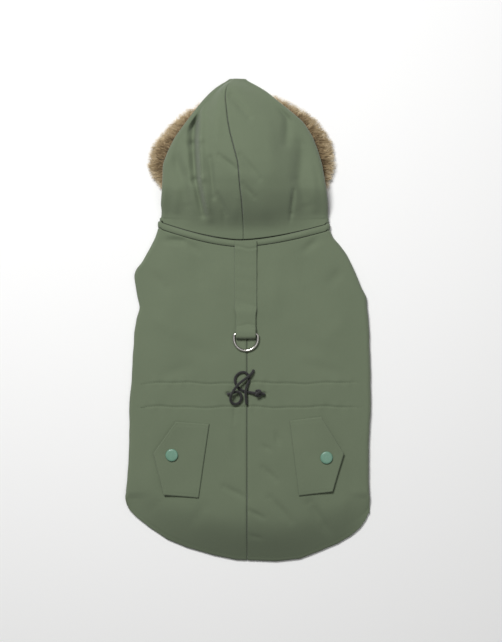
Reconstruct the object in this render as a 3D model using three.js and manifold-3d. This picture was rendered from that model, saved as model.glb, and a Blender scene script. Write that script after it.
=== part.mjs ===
// Hooded dog coat, laid flat on its belly with the back up.
// Millimetres. +X is the coat's left-to-right as seen from above, +Y runs towards the hood, +Z is up.
// The origin is the centre of the coat's length and width, on the surface that it lies on.
import * as THREE from 'three';
import * as BufferGeometryUtils from 'three/addons/utils/BufferGeometryUtils.js';
import Module from 'manifold-3d';

const wasm = await Module();
wasm.setup();

// ---- Driving sizes ----
const cloth = 2.4; // outer cotton and its soft lining together
const gap = 0.3; // between neighbouring pieces
const seamHalf = gap / 2;
const backMiddle = -1.2; // the centre back seam
const layFlat = 8.0; // height of the folded side edge of the body
const backCrown = 9.4; // height of the back over the belly's lap
const backSide = 8.5; // and away from it
const lapReach = 40;
const hemHeight = cloth + 0.06; // the back's hem lies on the surface
const hemSlope = 42; // length over which the back comes down to its hem
const foldRadius = layFlat / 2;
const cornerY = -178; // where the side fold ends and the hem begins
const bellyHemY = -162;
const bellyNeckY = 58;
const bellyLap = 14; // each belly half reaches this far past the middle

const bandWidth = 6.7;
const neckLow = 81; // upper seam of the neck band at the middle
const neckMiddleX = -8;
const neckRise = { left: 18, right: 14 };
const neckSpan = 80;
const throatEase = 1.2; // extra room at the hidden part of the neck seams
const throatDrop = 24; // how much lower the neckline runs on the belly side

const strap = { left: -13.7, right: 8.8, loopLeft: -12.4, loopRight: 7.6, thick: 1.4, top: 80 };
const ring = { x: -2.4, barY: -13, wire: 1.4, halfWidth: 11.95, corner: 2.2, depth: 16.6, tilt: 5 };

const casing = { top: -62, bottom: -86, thick: 1.0, inset: 24 };
const eyelet = { y: -73, left: -20.2, right: 15.9, rim: 4.2, hole: 2.5, barrel: 2.9, clothHole: 3.2, high: 1.1 };
const cord = { radius: 1.3, layer: 2.95, sides: 8, steps: 40 };
const stopperKnot = { x: 10.1, y: -71.9, radius: 3.6, long: 5.6, room: 0.6, rise: 5.1 };

const flapThick = 1.8;
const flapTipShare = 0.42; // the tip's place along the flap
const snap = { radius: 6.3, high: 2.2, rim: 0.7 };

const fur = { x: -6, y: 158, left: 93, right: 91.5, up: 70, down: 58, wide: 26, high: 11.8 };
const furBow = { left: 1.7, right: 2 }; // 2 is a true ellipse, less is more pointed

// ---- Tables ----
// Outline of the body, from the neck to the end of the side folds.
const bodyOutline = [
  { y: 104, left: -87.6, right: 80.4 },
  { y: 93, left: -90.3, right: 81.6 },
  { y: 83, left: -93.4, right: 85 },
  { y: 78, left: -96.3, right: 90.6 },
  { y: 68, left: -101.7, right: 98.3 },
  { y: 58, left: -107, right: 103.3 },
  { y: 53, left: -112.2, right: 105.8 },
  { y: 46, left: -114.4, right: 108.4 },
  { y: 34, left: -113.2, right: 113.4 },
  { y: 24, left: -111.3, right: 118.9 },
  { y: 13, left: -108.7, right: 119.5 },
  { y: 3, left: -111.8, right: 120.4 },
  { y: -10, left: -114.4, right: 121.4 },
  { y: -57, left: -117, right: 122.7 },
  { y: -82, left: -119.3, right: 123.1 },
  { y: -130, left: -119.6, right: 120.9 },
  { y: -154, left: -121.3, right: 121.2 },
  { y: -178, left: -123.1, right: 121.5 },
  { y: -190, left: -120.4, right: 121.4 },
];

// The rounded hem of the back.
const hemLine = [
  { x: -123.1, y: -184 },
  { x: -120.4, y: -188 },
  { x: -113.5, y: -195.5 },
  { x: -99, y: -207.5 },
  { x: -81, y: -219.5 },
  { x: -61.6, y: -227.5 },
  { x: -34, y: -235.5 },
  { x: -12, y: -240 },
  { x: 28, y: -241.5 },
  { x: 52, y: -239 },
  { x: 71, y: -231.5 },
  { x: 90, y: -223.5 },
  { x: 103.4, y: -215.5 },
  { x: 112.4, y: -207.5 },
  { x: 118, y: -199.5 },
  { x: 121.5, y: -191 },
];

// How the back turns under at its side folds: the angle of the turn and the cloth that lies beneath.
const backTurn = [
  { y: 104, turn: 180, under: 14 },
  { y: 60, turn: 180, under: 14 },
  { y: 57, turn: 180, under: 0.8 },
  { y: 52, turn: 100, under: 0.8 },
  { y: 8, turn: 100, under: 0.8 },
  { y: 5, turn: 180, under: 0.8 },
  { y: 0, turn: 180, under: 30 },
  { y: -156, turn: 180, under: 30 },
  { y: -163, turn: 180, under: 14 },
  { y: -167, turn: 180, under: 0.8 },
  { y: -174, turn: 70, under: 0.5 },
  { y: -178, turn: 25, under: 0.4 },
];

// Height of the side edge and radius of its fold, near the hem's corner.
const backEdge = [
  { y: -172, edge: layFlat, radius: foldRadius },
  { y: -178, edge: 6.0, radius: 3 },
  { y: -188, edge: 3.2, radius: 2.9 },
];

// The belly's armhole edge: its distance inside the outline.
const armhole = [
  { y: 58, inset: 18.3 },
  { y: 50, inset: 33 },
  { y: 38, inset: 41 },
  { y: 24, inset: 43 },
  { y: 10, inset: 38.5 },
  { y: 0, inset: 34.3 },
];

// Outline of the hood, with its crown seam, its height, the height of its underside and how much of
// each side turns under (1 reaches the middle).
const hoodForm = [
  { y: 70, left: -89.8, right: 81.2, seam: -4.2, crown: 9, base: 0, under: 1, radius: 4 },
  { y: 92, left: -89.8, right: 81.4, seam: -4.6, crown: 12.5, base: 0, under: 1, radius: 4 },
  { y: 98, left: -89, right: 80.8, seam: -5, crown: 16, base: 0, under: 1, radius: 4 },
  { y: 104, left: -87.4, right: 80, seam: -5.4, crown: 21, base: 0, under: 0.54, radius: 4.2 },
  { y: 110, left: -86.6, right: 80, seam: -5.8, crown: 26, base: 0, under: 0.31, radius: 4.6 },
  { y: 116, left: -87.6, right: 80, seam: -6.3, crown: 30, base: 3, under: 0.15, radius: 4.8 },
  { y: 122, left: -87, right: 79.2, seam: -6.8, crown: 33.5, base: 11, under: 0.1, radius: 5 },
  { y: 128, left: -86.2, right: 78.4, seam: -7.7, crown: 36.5, base: 12.4, under: 0.13, radius: 5 },
  { y: 142, left: -85.4, right: 76.2, seam: -9, crown: 41, base: 12.4, under: 0.14, radius: 5 },
  { y: 156, left: -85, right: 73.6, seam: -10.2, crown: 42, base: 12.4, under: 0.15, radius: 5 },
  { y: 170, left: -79.6, right: 69.4, seam: -13.9, crown: 41.5, base: 12.4, under: 0.16, radius: 5 },
  { y: 184, left: -72.4, right: 64, seam: -17.6, crown: 40, base: 12.4, under: 0.19, radius: 5 },
  { y: 198, left: -62, right: 55, seam: -20.2, crown: 37.5, base: 12.4, under: 0.25, radius: 5 },
  { y: 210, left: -53, right: 41, seam: -21.4, crown: 35, base: 12.4, under: 0.4, radius: 5 },
  { y: 220, left: -45, right: 28.5, seam: -22.4, crown: 32, base: 12.4, under: 0.7, radius: 4.6 },
  { y: 229, left: -36.6, right: 18, seam: -22, crown: 28.5, base: 12.4, under: 1, radius: 4 },
  { y: 236, left: -28, right: 6.6, seam: -19.6, crown: 22.5, base: 9.5, under: 1, radius: 3.4 },
  { y: 241.5, left: -17.5, right: -4, seam: -11.5, crown: 14.4, base: 7, under: 1, radius: 2.8 },
];

// The largest folds and hollows: soft troughs (negative) and ridges between two points.
const largeFolds = [
  { of: 'hood', x1: -47, y1: 212, x2: -45, y2: 140, rise: 3, wide: 7 },
  { of: 'hood', x1: -45, y1: 140, x2: -34, y2: 98, rise: 2.4, wide: 6 },
  { of: 'hood', x1: -56, y1: 206, x2: -55, y2: 140, rise: -6, wide: 7 },
  { of: 'hood', x1: -55, y1: 140, x2: -46, y2: 104, rise: -4, wide: 6 },
  { of: 'hood', x1: 45, y1: 190, x2: 54, y2: 128, rise: -3.5, wide: 10 },
  { of: 'hood', x1: -76, y1: 160, x2: -66, y2: 126, rise: -2, wide: 7 },
  { of: 'body', x1: 63, y1: -186, x2: 80, y2: -214, rise: -1.6, wide: 9 },
  { of: 'body', x1: -84, y1: 84, x2: -62, y2: 80, rise: -1.2, wide: 5 },
];

// Rows of the back: those in the blend keep their share of the way down from the neckline.
const backRows = [50, 44, 33, 22, 12, 6, 0, -12, -38, -62, -86, -112, -138, -156, -163, -168, -174, -178];
const bellyRows = [bellyNeckY, 50, 38, 24, 10, 0, -12, -38, -62, -86, -112, -138, -156, bellyHemY];
const neckBlend = [0, 0.35, 0.7];
const shoulderRow = 56;
const skirtShares = [0.18, 0.36, 0.54, 0.72, 0.87, 1];
const topShares = [0, 0.16, 0.36, 0.56, 0.75, 0.9, 1];
const turnShares = [0.22, 0.44, 0.64, 0.82, 1];
const underShares = [0.5, 1];
const hoodShares = {
  left: [0, 0.16, 0.32, 0.44, 0.52, 0.6, 0.7, 0.84, 1],
  right: [0, 0.18, 0.38, 0.58, 0.76, 0.9, 1],
};

// Routes of the two free ends of the drawcord, from their eyelets. up is in cord layers above the back.
const cordRoutes = {
  left: [
    { x: -20.2, y: -73, up: -0.5 },
    { x: -20.2, y: -73, up: 0.1 },
    { x: -19.3, y: -72.9, up: 0.9 },
    { x: -17, y: -72.3, up: 1.35 },
    { x: -13.5, y: -71, up: 1.4 },
    { x: -10, y: -70.6, up: 1.4 },
    { x: -7.3, y: -73, up: 1.2 },
    { x: -7, y: -77.5, up: 0.7 },
    { x: -9.3, y: -81.6, up: 0.3 },
    { x: -13.2, y: -82.9, up: 0.2 },
    { x: -17, y: -80.6, up: 0.6 },
    { x: -17.6, y: -76.4, up: 1.6 },
    { x: -16, y: -71.8, up: 2.5 },
    { x: -13, y: -67, up: 2.4 },
    { x: -9.2, y: -62.6, up: 1.9 },
    { x: -4.6, y: -58.8, up: 1.4 },
    { x: 0.2, y: -55.6, up: 1.15 },
    { x: 3.4, y: -52.4, up: 0.8 },
    { x: 5.6, y: -49, up: 0.2 },
  ],
  right: [
    { x: 15.9, y: -73, up: -0.5 },
    { x: 15.9, y: -73, up: 0.1 },
    { x: 15.1, y: -72.9, up: 0.85 },
    { x: 13.2, y: -72, up: 1.2 },
    { x: 10.2, y: -71.9, up: 1.2 },
    { x: 7, y: -71.9, up: 1.15 },
    { x: 3, y: -71.4, up: 0.4 },
    { x: -2, y: -70.8, up: 0.05 },
    { x: -6.5, y: -69, up: 0 },
    { x: -10.6, y: -65.6, up: 0 },
    { x: -13, y: -61, up: 0 },
    { x: -12.4, y: -55.8, up: 0.05 },
    { x: -8.4, y: -51.9, up: 0.05 },
    { x: -3.2, y: -51.4, up: 0.05 },
    { x: 0.4, y: -54.8, up: 0.05 },
    { x: 0.6, y: -60, up: 0.2 },
    { x: -1.6, y: -65.4, up: 0.75 },
    { x: -2.6, y: -71, up: 1.1 },
    { x: -2.2, y: -76.6, up: 0.8 },
    { x: -1.6, y: -83, up: 0.1 },
  ],
};

// The five corners of each pocket flap, from the sewn edge outwards.
const flapCorners = {
  left: { innerTop: [-39, -103], innerLow: [-49.7, -177], outerLow: [-84.3, -174], tip: [-95, -132.3],
    outerTop: [-72.2, -100.5], snapAt: [-76.4, -134] },
  right: { innerTop: [41.3, -99.5], innerLow: [50.8, -175], outerLow: [84.3, -170.5], tip: [95.8, -132.5],
    outerTop: [72.8, -95.5], snapAt: [78.2, -136.5] },
};

// ---- Finishes ----
const finishes = {
  cotton: { color: 0x6b785f, roughness: 0.9, metalness: 0 },
  bellyCotton: { color: 0x647158, roughness: 0.9, metalness: 0 },
  fur: { color: 0xa08c6a, roughness: 1, metalness: 0 },
  cordage: { color: 0x242423, roughness: 0.85, metalness: 0 },
  nickel: { color: 0xc9c7bd, roughness: 0.25, metalness: 1 },
  enamel: { color: 0x69917a, roughness: 0.45, metalness: 0.1 },
};

// ---- Small helpers ----
const mix = (a, b, share) => a + (b - a) * share;
const within = (value) => Math.min(1, Math.max(0, value));
const ease = (value) => within(value) ** 2 * (3 - 2 * within(value));
const sideSign = (side) => (side === 'left' ? -1 : 1);
const toRadians = (degrees) => (degrees * Math.PI) / 180;

// Reads one column of a table at a place along its key column, straight between rows.
function lookUp(table, key, at, column) {
  const rising = table[table.length - 1][key] > table[0][key];
  const rows = rising ? table : [...table].reverse();
  if (at <= rows[0][key]) return rows[0][column];
  for (let i = 1; i < rows.length; i += 1) {
    if (at <= rows[i][key]) {
      const share = (at - rows[i - 1][key]) / (rows[i][key] - rows[i - 1][key]);
      return mix(rows[i - 1][column], rows[i][column], share);
    }
  }
  return rows[rows.length - 1][column];
}

// A closed body through rings of equal length. Open ends are capped by pairing each ring's two halves.
function loft(rings, closed = false) {
  const count = rings[0].length;
  const positions = rings.flat(2);
  const faces = [];
  const at = (ringIndex, pointIndex) => (ringIndex % rings.length) * count + (pointIndex % count);
  const lastRing = closed ? rings.length : rings.length - 1;
  for (let r = 0; r < lastRing; r += 1) {
    for (let p = 0; p < count; p += 1) {
      faces.push(at(r, p), at(r, p + 1), at(r + 1, p + 1));
      faces.push(at(r, p), at(r + 1, p + 1), at(r + 1, p));
    }
  }
  if (!closed) {
    for (let p = 0; p < count / 2 - 1; p += 1) {
      const partner = count - 1 - p;
      const end = rings.length - 1;
      faces.push(at(0, p), at(0, partner), at(0, partner - 1));
      if (p + 1 < partner - 1) faces.push(at(0, p), at(0, partner - 1), at(0, p + 1));
      faces.push(at(end, p), at(end, partner - 1), at(end, partner));
      if (p + 1 < partner - 1) faces.push(at(end, p), at(end, p + 1), at(end, partner - 1));
    }
  }
  let volume = 0;
  const corner = (face, which) => new THREE.Vector3().fromArray(positions, faces[face + which] * 3);
  for (let f = 0; f < faces.length; f += 3) {
    volume += corner(f, 0).dot(corner(f, 1).cross(corner(f, 2)));
  }
  if (volume < 0) faces.reverse();
  const geometry = new THREE.BufferGeometry();
  geometry.setAttribute('position', new THREE.Float32BufferAttribute(positions, 3));
  geometry.setIndex(faces);
  return geometry;
}

// A wall of cloth: each row is a list of {outer, inner} points across the piece.
function wall(rows) {
  return loft(rows.map((row) => [...row.map((p) => p.outer), ...row.map((p) => p.inner).reverse()]));
}

function toSolid(geometry) {
  const bare = geometry.clone();
  bare.deleteAttribute('normal');
  bare.deleteAttribute('uv');
  const merged = BufferGeometryUtils.mergeVertices(bare, 1e-4);
  const triVerts = Uint32Array.from(merged.index.array);
  const vertProperties = Float32Array.from(merged.attributes.position.array);
  return new wasm.Manifold(new wasm.Mesh({ numProp: 3, vertProperties, triVerts }));
}

function toGeometry(solid) {
  const mesh = solid.getMesh();
  const geometry = new THREE.BufferGeometry();
  geometry.setAttribute('position', new THREE.BufferAttribute(Float32Array.from(mesh.vertProperties), 3));
  geometry.setIndex(new THREE.BufferAttribute(Uint32Array.from(mesh.triVerts), 1));
  return geometry;
}

function turned(profile, segments) {
  const geometry = new THREE.LatheGeometry(profile.map(([r, z]) => new THREE.Vector2(r, z)), segments);
  geometry.rotateX(Math.PI / 2);
  return geometry;
}

const group = new THREE.Group();

function place(name, geometry, finish) {
  geometry.computeVertexNormals();
  const mesh = new THREE.Mesh(geometry, new THREE.MeshStandardMaterial(finishes[finish]));
  mesh.name = name;
  group.add(mesh);
  return mesh;
}

// ---- Surface heights ----
function foldRise(piece, x, y) {
  let rise = 0;
  for (const fold of largeFolds) {
    if (fold.of === piece) {
      const along = new THREE.Vector2(fold.x2 - fold.x1, fold.y2 - fold.y1);
      const from = new THREE.Vector2(x - fold.x1, y - fold.y1);
      const share = within(from.dot(along) / along.lengthSq());
      const away = from.sub(along.multiplyScalar(share)).length() / fold.wide;
      rise += fold.rise * Math.exp(-away * away);
    }
  }
  return rise;
}

// Top of the back, without the turn at its side folds.
function backTop(x, y) {
  const lift = ease((y - lookUp(hemLine, 'x', x, 'y')) / hemSlope);
  const crown = mix(backSide, backCrown, Math.exp(-((x / lapReach) ** 2)));
  return mix(hemHeight, crown + foldRise('body', x, y), lift);
}

function neckline(x, side) {
  return neckLow + neckRise[side] * (Math.abs(x - neckMiddleX) / neckSpan) ** 1.6;
}

// Side folds of the neck, and the neckline's run on the belly side, where it dips towards the throat.
const neckFoldX = (side) => lookUp(bodyOutline, 'y', 92, side);
const neckFoldY = (side) => neckline(neckFoldX(side), side);

function throatLine(x, side) {
  const reach = (x - backMiddle) / (neckFoldX(side) - backMiddle);
  return neckFoldY(side) - throatDrop * ease(1 - reach);
}

// ---- Sections ----
// One half of a flattened tube across the coat, from the middle seam, over the top, round the side
// fold and back underneath. Each point keeps its y from the row that asks for it.
function halfSection(section) {
  const { side, middle, width, radius, edge, turn, under, shares, topAt, yTop, ySide, yUnder } = section;
  const sign = sideSign(side);
  const turnAngle = toRadians(turn);
  const rollD = width - radius * Math.sin(Math.min(turnAngle, Math.PI / 2));
  const rollZ = edge - radius;
  const row = [];
  const add = (d, z, inwardD, inwardZ, y) => {
    row.push({
      outer: [middle + sign * d, y, z],
      inner: [middle + sign * (d + inwardD * cloth), y, z + inwardZ * cloth],
    });
  };
  for (const share of shares) {
    const d = mix(seamHalf, rollD, share);
    const x = middle + sign * d;
    const y = yTop(x);
    add(d, topAt(x, y, d / rollD), 0, -1, y);
  }
  for (const share of turnShares) {
    const angle = turnAngle * share;
    add(rollD + radius * Math.sin(angle), rollZ + radius * Math.cos(angle), -Math.sin(angle),
      -Math.cos(angle), ySide(share));
  }
  for (const share of underShares) {
    const d = rollD + radius * Math.sin(turnAngle) + Math.cos(turnAngle) * under * share;
    const z = rollZ + radius * Math.cos(turnAngle) - Math.sin(turnAngle) * under * share;
    add(d, z, -Math.sin(turnAngle), -Math.cos(turnAngle), yUnder(middle + sign * d));
  }
  return row;
}

const backHalfWidth = (side, y) => Math.abs(lookUp(bodyOutline, 'y', y, side) - backMiddle);

function backSection(side, yEdge, yTop, ySide = () => yEdge, yUnder = () => yEdge) {
  const edge = lookUp(backEdge, 'y', yEdge, 'edge');
  const radius = lookUp(backEdge, 'y', yEdge, 'radius');
  return halfSection({
    side,
    middle: backMiddle,
    width: backHalfWidth(side, yEdge),
    radius,
    edge,
    turn: lookUp(backTurn, 'y', yEdge, 'turn'),
    under: lookUp(backTurn, 'y', yEdge, 'under'),
    shares: topShares,
    topAt: (x, y, share) => mix(backTop(x, y), edge, ease((share - 0.8) / 0.2)),
    yTop,
    ySide,
    yUnder,
  });
}

// ---- The back ----
function backHalf(side) {
  const sign = sideSign(side);
  const rows = [];
  const bandFoot = bandWidth + 2.6 * gap;
  for (const share of neckBlend) {
    const yEdge = mix(neckFoldY(side) - bandFoot, shoulderRow, share);
    rows.push(backSection(
      side,
      yEdge,
      (x) => mix(neckline(x, side) - bandFoot, shoulderRow, share),
      () => yEdge,
      (x) => mix(throatLine(x, side) - bandFoot - throatEase, shoulderRow, share),
    ));
  }
  for (const y of backRows) {
    rows.push(backSection(side, y, () => y));
  }
  const cornerX = lookUp(bodyOutline, 'y', cornerY, side);
  for (const share of skirtShares) {
    const yEdge = mix(cornerY, lookUp(hemLine, 'x', cornerX - sign, 'y'), share);
    rows.push(backSection(side, yEdge, (x) => mix(cornerY, lookUp(hemLine, 'x', x, 'y'), share)));
  }
  const hole = new THREE.CylinderGeometry(eyelet.clothHole, eyelet.clothHole, 4 * cloth, 12);
  hole.rotateX(Math.PI / 2);
  hole.translate(eyelet[side], eyelet.y, backCrown);
  return toGeometry(toSolid(wall(rows)).subtract(toSolid(hole)));
}

// ---- The belly ----
function bellyHalf(side, lift) {
  const sign = sideSign(side);
  const rows = [];
  for (const y of bellyRows) {
    const outline = Math.abs(lookUp(bodyOutline, 'y', y, side));
    const inset = y > 0 ? lookUp(armhole, 'y', y, 'inset')
      : foldRadius + lookUp(backTurn, 'y', y, 'under') + gap;
    const outerX = outline - inset;
    const scoop = 26 * ease((y - 20) / (bellyNeckY - 20));
    const row = [outerX, mix(outerX, 26, 0.5), 26, 18, 9, -bellyLap].map((d) => {
      const z = lift * ease((30 - d) / 12);
      const dip = scoop * ease(1 - d / outerX);
      return {
        outer: [sign * d, y - dip, z + cloth],
        inner: [sign * d, y - dip, z],
      };
    });
    rows.push(row);
  }
  return wall(rows);
}

// ---- The neck band ----
function neckBand() {
  const bandRow = (drop) => {
    const halfRow = (side) => {
      return halfSection({
        side,
        middle: backMiddle,
        width: Math.abs(neckFoldX(side) - backMiddle),
        radius: foldRadius,
        edge: layFlat,
        turn: 180,
        under: 42,
        shares: topShares,
        topAt: (x, y, share) => mix(backCrown + 0.8, layFlat, ease((share - 0.7) / 0.3)),
        yTop: (x) => neckline(x, side) - drop,
        ySide: () => neckFoldY(side) - drop,
        yUnder: (x) => throatLine(x, side) - drop,
      });
    };
    const leftRow = halfRow('left');
    return [...leftRow.reverse().slice(0, -1), ...halfRow('right').slice(1)];
  };
  return wall([0, bandWidth / 2, bandWidth].map((drop) => bandRow(drop)));
}

// ---- The hood ----
function hoodSection(side, yRow, yTop, ySide = () => yRow, yUnder = () => yRow) {
  const read = (column) => lookUp(hoodForm, 'y', yRow, column);
  const middle = read('seam');
  const radius = read('radius');
  const width = Math.abs(read(side) - middle);
  const edge = read('base') + 2 * radius;
  return halfSection({
    side,
    middle,
    width,
    radius,
    edge,
    turn: 180,
    under: (width - radius - seamHalf) * read('under'),
    shares: hoodShares[side],
    topAt: (x, y, share) => {
      const bell = 0.5 + 0.5 * Math.cos(Math.PI * within(share) ** 1.35);
      const crown = Math.max(lookUp(hoodForm, 'y', y, 'crown'), backCrown + 0.5);
      const flatter = ease((y - 96) / 30) * ease((236 - y) / 20);
      return mix(edge, crown, bell) + foldRise('hood', x, y) * flatter * ease((1 - share) / 0.2);
    },
    yTop,
    ySide,
    yUnder,
  });
}

function hoodHalf(side) {
  const rows = [];
  const blendEnd = 104;
  const hoodFoot = 4 * gap; // the seam runs at a slant to the hood's rows
  for (const share of [0, 0.33, 0.66]) {
    const yEdge = mix(neckFoldY(side) + hoodFoot, blendEnd, share);
    rows.push(hoodSection(
      side,
      Math.min(yEdge, 98),
      (x) => mix(neckline(x, side) + hoodFoot, blendEnd, share),
      () => yEdge,
      (x) => mix(throatLine(x, side) + hoodFoot + throatEase, blendEnd - 6 * ease(1 - Math.abs(x) / 80), share),
    ));
  }
  for (const row of hoodForm.filter((form) => form.y >= blendEnd)) {
    rows.push(hoodSection(side, row.y, () => row.y));
  }
  return wall(rows);
}

// ---- The fur trim round the face opening: the room that its hair fills ----
function furTrim() {
  const rings = [];
  const stations = 32;
  for (let i = 0; i < stations; i += 1) {
    const angle = (2 * Math.PI * i) / stations;
    const across = Math.cos(angle);
    const upward = Math.sin(angle);
    const side = across < 0 ? 'left' : 'right';
    const bow = 2 / furBow[side];
    const spanX = Math.sign(across) * Math.abs(across) ** bow;
    const spanY = Math.sign(upward) * Math.abs(upward) ** bow;
    const reachY = upward < 0 ? fur.down : fur.up;
    const ringPoints = [];
    for (let k = 0; k < 8; k += 1) {
      const around = (2 * Math.PI * (k + 0.5)) / 8;
      const inward = (fur.wide / 2) * (1 - Math.cos(around) / Math.cos(Math.PI / 8));
      const z = (fur.high / 2) * (1 + Math.sin(around) / Math.cos(Math.PI / 8));
      ringPoints.push([fur.x + (fur[side] - inward) * spanX, fur.y + (reachY - inward) * spanY, z]);
    }
    rings.push(ringPoints);
  }
  return loft(rings, true);
}

// ---- Lead strap and its ring ----
const strapSeat = backCrown + gap; // underside of the strap on the back
const barZ = strapSeat + strap.thick + gap + ring.wire;

// A ribbon across X: each path row has y, z, its own normal and its two ends in x.
function leadStrap() {
  const inside = ring.wire + gap;
  const path = [
    { y: strap.top, z: backCrown + 0.8 + gap, ny: 0, nz: 1 },
    { y: neckLow - bandWidth - 1, z: backCrown + 0.8 + gap, ny: 0, nz: 1 },
    { y: neckLow - bandWidth - 7, z: strapSeat, ny: 0, nz: 1 },
    { y: 45, z: strapSeat, ny: 0, nz: 1 },
    { y: 16, z: strapSeat, ny: 0, nz: 1 },
    { y: 9, z: strapSeat + strap.thick + gap, ny: 0, nz: 1 },
    { y: -4, z: strapSeat + strap.thick + gap + 0.3, ny: 0, nz: 1 },
    { y: -10, z: barZ + inside - 0.3, ny: 0, nz: 1 },
    { y: ring.barY, z: barZ + inside, ny: 0, nz: 1 },
    { y: ring.barY - 2.4, z: barZ + inside * 0.8, ny: -0.5, nz: 0.866 },
    { y: ring.barY - 3.4, z: barZ, ny: -1, nz: 0 },
    { y: ring.barY - 2.4, z: barZ - inside * 0.8, ny: -0.5, nz: -0.866 },
    { y: ring.barY, z: barZ - inside, ny: 0, nz: -1 },
    { y: -4, z: barZ - inside, ny: 0, nz: -1 },
    { y: 6, z: strapSeat + strap.thick, ny: 0, nz: -1 },
  ];
  const rows = path.map(({ y, z, ny, nz }) => {
    const narrow = ease((14 - y) / 10);
    const left = mix(strap.left, strap.loopLeft, narrow);
    const right = mix(strap.right, strap.loopRight, narrow);
    return [left, right].map((x) => ({
      outer: [x, y + ny * strap.thick, z + nz * strap.thick],
      inner: [x, y, z],
    }));
  });
  return wall(rows);
}

// A D of round wire, flat in XY, with the middle of its straight bar at the origin.
function dRing() {
  const { wire, halfWidth, corner, depth } = ring;
  const centreLine = [];
  const addArc = (cx, cy, radius, from, to, steps) => {
    for (let i = 0; i <= steps; i += 1) {
      const angle = toRadians(mix(from, to, i / steps));
      centreLine.push(new THREE.Vector2(cx + radius * Math.cos(angle), cy + radius * Math.sin(angle)));
    }
  };
  addArc(halfWidth - corner, -corner, corner, 90, 0, 3);
  addArc(0, -(depth - halfWidth), halfWidth, 0, -180, 14);
  addArc(-(halfWidth - corner), -corner, corner, 180, 90, 3);
  const count = centreLine.length;
  const rings = centreLine.map((point, i) => {
    const ahead = centreLine[(i + 1) % count];
    const behind = centreLine[(i + count - 1) % count];
    const heading = ahead.clone().sub(behind).normalize();
    const ringPoints = [];
    for (let k = 0; k < 8; k += 1) {
      const around = (2 * Math.PI * (k + 0.5)) / 8;
      const aside = wire * Math.cos(around);
      ringPoints.push([point.x - heading.y * aside, point.y + heading.x * aside, wire * Math.sin(around)]);
    }
    return ringPoints;
  });
  return loft(rings, true);
}

// ---- The drawcord at the waist ----
// The casing strip lies against the inside of the back, between the side folds.
function waistCasing() {
  const rows = [casing.top, mix(casing.top, casing.bottom, 0.5), casing.bottom].map((y) => {
    const left = lookUp(bodyOutline, 'y', y, 'left') + casing.inset;
    const right = lookUp(bodyOutline, 'y', y, 'right') - casing.inset;
    const row = [];
    for (let i = 0; i <= 12; i += 1) {
      const x = mix(left, right, i / 12);
      const under = backTop(x, y) - cloth - gap;
      row.push({ outer: [x, y, under], inner: [x, y, under - casing.thick] });
    }
    return row;
  });
  const strip = toSolid(wall(rows));
  const middle = (eyelet.left + eyelet.right) / 2;
  const slot = new THREE.BoxGeometry(eyelet.right - eyelet.left + 12, 9, 4);
  slot.translate(middle, eyelet.y, backCrown - cloth - 1);
  return toGeometry(strip.subtract(toSolid(slot)));
}

function eyeletRing() {
  const { rim, hole, barrel, high } = eyelet;
  const foot = -cloth - 0.2;
  return turned([
    [hole, foot],
    [barrel, foot],
    [barrel, gap],
    [rim, gap],
    [rim - 0.2, high * 0.75],
    [mix(rim, hole, 0.5), high],
    [hole + 0.2, high * 0.75],
    [hole, gap],
    [hole, foot],
  ], 14);
}

const cordBase = backCrown + gap + cord.radius; // a cord lying on the back

function cordCurve(side) {
  const points = cordRoutes[side].map(({ x, y, up }) => new THREE.Vector3(x, y, cordBase + up * cord.layer));
  return new THREE.CatmullRomCurve3(points, false, 'centripetal');
}

function cordTube(side) {
  const round = new THREE.Shape();
  for (let i = 0; i < cord.sides; i += 1) {
    const angle = (2 * Math.PI * i) / cord.sides;
    const x = cord.radius * Math.cos(angle);
    const y = cord.radius * Math.sin(angle);
    if (i === 0) round.moveTo(x, y);
    else round.lineTo(x, y);
  }
  return new THREE.ExtrudeGeometry(round, { steps: cord.steps, extrudePath: cordCurve(side) });
}

// The overhand knot beside the right eyelet, as a ring round the cord.
function cordKnot() {
  const { radius, long, room } = stopperKnot;
  const inside = cord.radius + room;
  return turned([
    [inside, -long / 2],
    [radius * 0.75, -long / 2],
    [radius, -long / 6],
    [radius, long / 6],
    [radius * 0.75, long / 2],
    [inside, long / 2],
    [inside, -long / 2],
  ], 10);
}

// ---- Pocket flaps and snaps ----
function flapPoint(side, along, across) {
  const { innerTop, innerLow, outerLow, tip, outerTop } = flapCorners[side];
  const inner = [0, 1].map((axis) => mix(innerTop[axis], innerLow[axis], along));
  const outer = [0, 1].map((axis) => (along < flapTipShare
    ? mix(outerTop[axis], tip[axis], along / flapTipShare)
    : mix(tip[axis], outerLow[axis], (along - flapTipShare) / (1 - flapTipShare))));
  return [0, 1].map((axis) => mix(inner[axis], outer[axis], across));
}

const flapFoot = (x, y, across) => backTop(x, y) + gap + 1.6 * across * across;

function pocketFlap(side) {
  const rows = [];
  for (const along of [0, 0.14, 0.28, flapTipShare, 0.56, 0.7, 0.85, 1]) {
    rows.push([0, 0.35, 0.7, 1].map((across) => {
      const [x, y] = flapPoint(side, along, across);
      const z = flapFoot(x, y, across);
      return { outer: [x, y, z + flapThick], inner: [x, y, z] };
    }));
  }
  return wall(rows);
}

function snapCap() {
  const { radius, high, rim } = snap;
  return turned([
    [0, 0],
    [radius - rim, 0],
    [radius, rim],
    [radius - 0.2, high * 0.75],
    [radius - 1.2, high],
    [0, high * 0.88],
  ], 20);
}

// ---- The coat ----
place('back_left', backHalf('left'), 'cotton');
place('back_right', backHalf('right'), 'cotton');
place('belly_left', bellyHalf('left', 0), 'bellyCotton');
place('belly_right', bellyHalf('right', cloth + gap), 'bellyCotton');
place('neck_band', neckBand(), 'cotton');
place('hood_left', hoodHalf('left'), 'cotton');
place('hood_right', hoodHalf('right'), 'cotton');
place('fur_trim', furTrim(), 'fur');
place('waist_casing', waistCasing(), 'cotton');
place('lead_strap', leadStrap(), 'cotton');

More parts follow.
